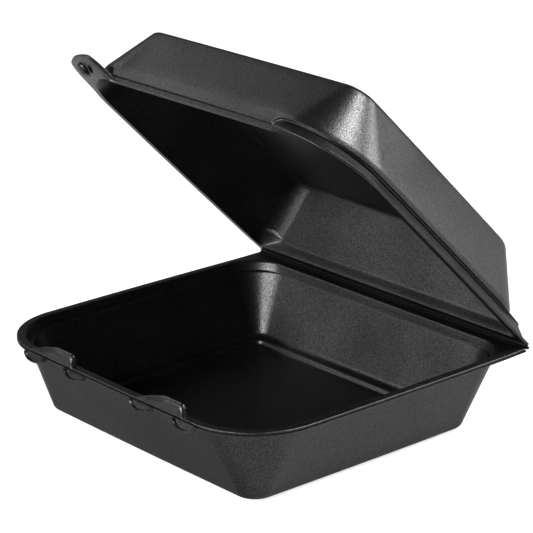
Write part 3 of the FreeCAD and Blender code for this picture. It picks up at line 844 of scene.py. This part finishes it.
class CLAMSHELL_OT_stage(bpy.types.Operator):
    """Studio: white floor, soft light and the camera"""
    bl_idname = "clamshell.stage"
    bl_label = "Studio"

    def execute(self, context):
        self.add_floor(context)
        self.add_world(context)
        for light in LIGHTS:
            self.add_light(*light)
        self.add_camera(context)
        context.scene.view_settings.view_transform = "Standard"
        return {"FINISHED"}

    @staticmethod
    def add_floor(context):
        bpy.ops.mesh.primitive_plane_add(size=FLOOR_SIZE, location=(0, 0, 0))
        floor = context.object
        floor.name = "studio_floor"
        material = bpy.data.materials.new("studio_white")
        material.use_nodes = True
        tree = material.node_tree
        tree.nodes.remove(tree.nodes["Principled BSDF"])
        output = tree.nodes["Material Output"]
        matt = tree.nodes.new("ShaderNodeBsdfDiffuse")
        matt.inputs["Color"].default_value = (*context.scene.clamshell_looks.floor_colour, 1)
        glow = tree.nodes.new("ShaderNodeEmission")
        ray = tree.nodes.new("ShaderNodeLightPath")
        level = tree.nodes.new("ShaderNodeMath")
        level.operation = "MULTIPLY"
        level.inputs[1].default_value = FLOOR_GLOW
        tree.links.new(ray.outputs["Is Camera Ray"], level.inputs[0])
        tree.links.new(level.outputs[0], glow.inputs["Strength"])
        both = tree.nodes.new("ShaderNodeAddShader")
        tree.links.new(matt.outputs[0], both.inputs[0])
        tree.links.new(glow.outputs[0], both.inputs[1])
        tree.links.new(both.outputs[0], output.inputs["Surface"])
        floor.data.materials.append(material)

    @staticmethod
    def add_world(context):
        world = bpy.data.worlds.new("studio")
        context.scene.world = world
        world.use_nodes = True
        tree = world.node_tree
        background = tree.nodes["Background"]
        place = tree.nodes.new("ShaderNodeTexCoord")
        split = tree.nodes.new("ShaderNodeSeparateXYZ")
        tree.links.new(place.outputs["Generated"], split.inputs["Vector"])
        ramp = tree.nodes.new("ShaderNodeValToRGB")
        for element, (position, level) in zip(ramp.color_ramp.elements, (HORIZON, ZENITH)):
            element.position = position
            element.color = (level, level, level, 1)
        tree.links.new(split.outputs["Z"], ramp.inputs["Fac"])
        ray = tree.nodes.new("ShaderNodeLightPath")
        shown = tree.nodes.new("ShaderNodeMixRGB")
        shown.inputs["Color2"].default_value = (1, 1, 1, 1)
        tree.links.new(ray.outputs["Is Camera Ray"], shown.inputs["Fac"])
        tree.links.new(ramp.outputs["Color"], shown.inputs["Color1"])
        tree.links.new(shown.outputs["Color"], background.inputs["Color"])

    @staticmethod
    def add_light(name, azimuth, elevation, distance, width, height, power):
        """Soft box that looks at the container from a bearing and height given in degrees."""
        light = bpy.data.lights.new(name, "AREA")
        light.shape = "RECTANGLE"
        light.size = width
        light.size_y = height
        light.energy = power
        lamp = bpy.data.objects.new(name, light)
        bpy.context.collection.objects.link(lamp)
        away = direction(math.radians(azimuth), math.radians(elevation)) * distance
        lamp.location = LIGHT_TARGET + away
        lamp.rotation_euler = (-away).to_track_quat("-Z", "Y").to_euler()

    @staticmethod
    def add_camera(context):
        away = direction(CAMERA_AZIMUTH, CAMERA_ELEVATION)
        data = bpy.data.cameras.new("camera")
        data.sensor_width = SENSOR_WIDTH
        data.lens = FOCAL_PIXELS / FRAME_PIXELS * SENSOR_WIDTH
        data.clip_start = 0.05
        camera = bpy.data.objects.new("camera", data)
        context.collection.objects.link(camera)
        camera.location = CAMERA_TARGET + away * CAMERA_DISTANCE
        aim = (-away).to_track_quat("-Z", "Y")
        roll = Quaternion((0, 0, 1), CAMERA_ROLL)
        camera.rotation_mode = "QUATERNION"
        camera.rotation_quaternion = aim @ roll
        context.scene.camera = camera


OPERATORS = (CLAMSHELL_OT_tray, CLAMSHELL_OT_lobes, CLAMSHELL_OT_lid, CLAMSHELL_OT_tab_marks,
             CLAMSHELL_OT_hinge_web, CLAMSHELL_OT_stage)


class CLAMSHELL_PT_panel(bpy.types.Panel):
    """Sizes, colours and pieces of the foam container"""
    bl_idname = "CLAMSHELL_PT_panel"
    bl_label = "Foam clamshell"
    bl_space_type = "VIEW_3D"
    bl_region_type = "UI"
    bl_category = "Foam clamshell"

    def draw(self, context):
        for group in (context.scene.clamshell_sizes, context.scene.clamshell_looks):
            for name in group.__annotations__:
                self.layout.prop(group, name)
        for operator in OPERATORS:
            self.layout.operator(operator.bl_idname)


CLASSES = (ClamshellSizes, ClamshellLooks, *OPERATORS, CLAMSHELL_PT_panel)


def register():
    for item in CLASSES:
        bpy.utils.register_class(item)
    bpy.types.Scene.clamshell_sizes = bpy.props.PointerProperty(type=ClamshellSizes)
    bpy.types.Scene.clamshell_looks = bpy.props.PointerProperty(type=ClamshellLooks)


def unregister():
    del bpy.types.Scene.clamshell_looks
    del bpy.types.Scene.clamshell_sizes
    for item in reversed(CLASSES):
        bpy.utils.unregister_class(item)


def main():
    register()
    bpy.ops.clamshell.tray()
    bpy.ops.clamshell.lobes()
    bpy.ops.clamshell.lid()
    bpy.ops.clamshell.tab_marks()
    bpy.ops.clamshell.hinge_web()
    bpy.ops.clamshell.stage()


if __name__ == "__main__":
    main()
